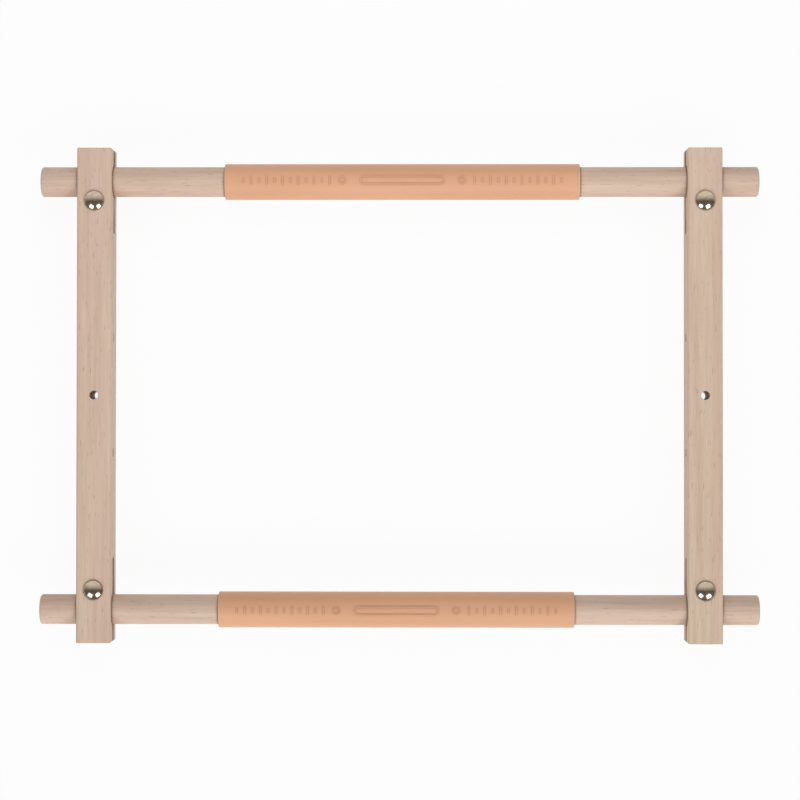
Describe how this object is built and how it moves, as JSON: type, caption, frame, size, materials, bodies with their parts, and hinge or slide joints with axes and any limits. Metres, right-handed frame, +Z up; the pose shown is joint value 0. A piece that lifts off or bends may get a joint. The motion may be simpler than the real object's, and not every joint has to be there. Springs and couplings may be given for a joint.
{
  "type": "tapestry frame",
  "caption": "Hand-held roller frame for tapestry and embroidery: wooden side bars clamp turning dowels, and springy clips hold the canvas.",
  "frame": {"origin": "on the floor under the middle of the frame, which lies flat on its four wing nuts", "axes": "+X along the dowels to the right, +Y along the side bars to the top, +Z up through the front face, where the bolt heads are"},
  "size_m": [0.457, 0.314, 0.0424],
  "materials": {
    "bar_wood": "bare planed beech",
    "dowel_wood": "bare sanded beech",
    "clip_plastic": "satin moulded",
    "bolt_chrome": "bright nickel plate",
    "washer_steel": "zinc plate",
    "nut_steel": "zinc plated casting"
  },
  "bodies": {
    "left_bar": {"left_bar": "bar_wood", "top_left_bolt": "bolt_chrome", "bottom_left_bolt": "bolt_chrome"},
    "right_bar": {"right_bar": "bar_wood", "top_right_bolt": "bolt_chrome", "bottom_right_bolt": "bolt_chrome"},
    "top_dowel": {"top_dowel": "dowel_wood"},
    "bottom_dowel": {"bottom_dowel": "dowel_wood"},
    "top_clip": {"top_clip": "clip_plastic"},
    "bottom_clip": {"bottom_clip": "clip_plastic"},
    "top_left_washer": {"top_left_washer": "washer_steel"},
    "top_right_washer": {"top_right_washer": "washer_steel"},
    "bottom_left_washer": {"bottom_left_washer": "washer_steel"},
    "bottom_right_washer": {"bottom_right_washer": "washer_steel"},
    "top_left_wing_nut": {"top_left_wing_nut": "nut_steel"},
    "top_right_wing_nut": {"top_right_wing_nut": "nut_steel"},
    "bottom_left_wing_nut": {"bottom_left_wing_nut": "nut_steel"},
    "bottom_right_wing_nut": {"bottom_right_wing_nut": "nut_steel"}
  },
  "joints": [
    {"name": "right_bar_slide", "type": "slide", "parent": "left_bar", "child": "right_bar", "axis": [1, 0, 0], "range_m": [-0.065, 0.0228]},
    {"name": "top_dowel_roll", "type": "hinge", "parent": "left_bar", "child": "top_dowel", "pos_m": [0, 0.1365, 0.0267], "axis": [1, 0, 0], "continuous": true},
    {"name": "bottom_dowel_roll", "type": "hinge", "parent": "left_bar", "child": "bottom_dowel", "pos_m": [0, -0.1365, 0.0267], "axis": [1, 0, 0], "continuous": true},
    {"name": "top_clip_slide", "type": "slide", "parent": "top_dowel", "child": "top_clip", "axis": [1, 0, 0], "range_m": [-0.06, 0.06]},
    {"name": "bottom_clip_slide", "type": "slide", "parent": "bottom_dowel", "child": "bottom_clip", "axis": [1, 0, 0], "range_m": [-0.06, 0.06]},
    {"name": "top_left_clamp_lift", "type": "slide", "parent": "left_bar", "child": "top_left_washer", "axis": [0, 0, -1], "range_m": [0, 0.0022]},
    {"name": "top_right_clamp_lift", "type": "slide", "parent": "right_bar", "child": "top_right_washer", "axis": [0, 0, -1], "range_m": [0, 0.0022]},
    {"name": "bottom_left_clamp_lift", "type": "slide", "parent": "left_bar", "child": "bottom_left_washer", "axis": [0, 0, -1], "range_m": [0, 0.0022]},
    {"name": "bottom_right_clamp_lift", "type": "slide", "parent": "right_bar", "child": "bottom_right_washer", "axis": [0, 0, -1], "range_m": [0, 0.0022]},
    {"name": "top_left_nut_turn", "type": "hinge", "parent": "top_left_washer", "child": "top_left_wing_nut", "pos_m": [-0.1937, 0.1235, 0.0065], "axis": [0, 0, -1], "range_deg": [0, 990]},
    {"name": "top_right_nut_turn", "type": "hinge", "parent": "top_right_washer", "child": "top_right_wing_nut", "pos_m": [0.1937, 0.1235, 0.0065], "axis": [0, 0, -1], "range_deg": [0, 990]},
    {"name": "bottom_left_nut_turn", "type": "hinge", "parent": "bottom_left_washer", "child": "bottom_left_wing_nut", "pos_m": [-0.1937, -0.1235, 0.0065], "axis": [0, 0, -1], "range_deg": [0, 990]},
    {"name": "bottom_right_nut_turn", "type": "hinge", "parent": "bottom_right_washer", "child": "bottom_right_wing_nut", "pos_m": [0.1937, -0.1235, 0.0065], "axis": [0, 0, -1], "range_deg": [0, 990]}
  ],
  "couplings": [
    {"joint": "top_left_clamp_lift", "follows": "top_left_nut_turn", "m_per_rad": 0.00012732},
    {"joint": "top_right_clamp_lift", "follows": "top_right_nut_turn", "m_per_rad": 0.00012732},
    {"joint": "bottom_left_clamp_lift", "follows": "bottom_left_nut_turn", "m_per_rad": 0.00012732},
    {"joint": "bottom_right_clamp_lift", "follows": "bottom_right_nut_turn", "m_per_rad": 0.00012732}
  ]
}
